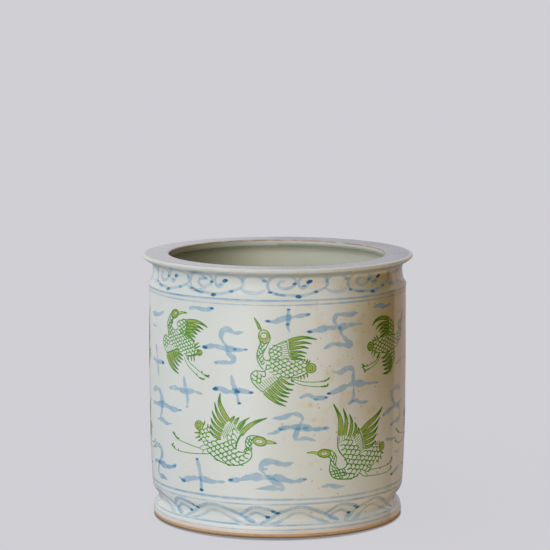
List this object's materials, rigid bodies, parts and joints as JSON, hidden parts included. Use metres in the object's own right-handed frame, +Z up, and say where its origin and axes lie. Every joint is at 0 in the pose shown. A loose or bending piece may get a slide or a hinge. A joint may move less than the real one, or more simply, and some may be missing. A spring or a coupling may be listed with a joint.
{
  "type": "brush holder pot",
  "caption": "Cylindrical porcelain brush pot with a flat flanged rim, hollow neck band, nipped waist and turned foot, under clear glaze with painted birds and clouds.",
  "frame": {"origin": "centre of the pot's underside, on the plane that it stands on", "axes": "+Z up along the pot's axis, out of its mouth; X and Y are alike"},
  "size_m": [0.2, 0.2, 0.195],
  "materials": {
    "clay": "bare fired clay, matt, warm buff",
    "clear_glaze": "glossy off-white glaze over blue and green painting",
    "rim_glaze": "glossy off-white glaze",
    "inner_glaze": "glossy grey-green glaze"
  },
  "bodies": {
    "root": {"foot_ring": "clay", "floor_slab": "clay", "wall": "clay", "rim_ring": "clay", "outer_glaze": "clear_glaze", "rim_glaze": "rim_glaze", "inner_glaze": "inner_glaze", "base_glaze": "clear_glaze"}
  },
  "joints": []
}
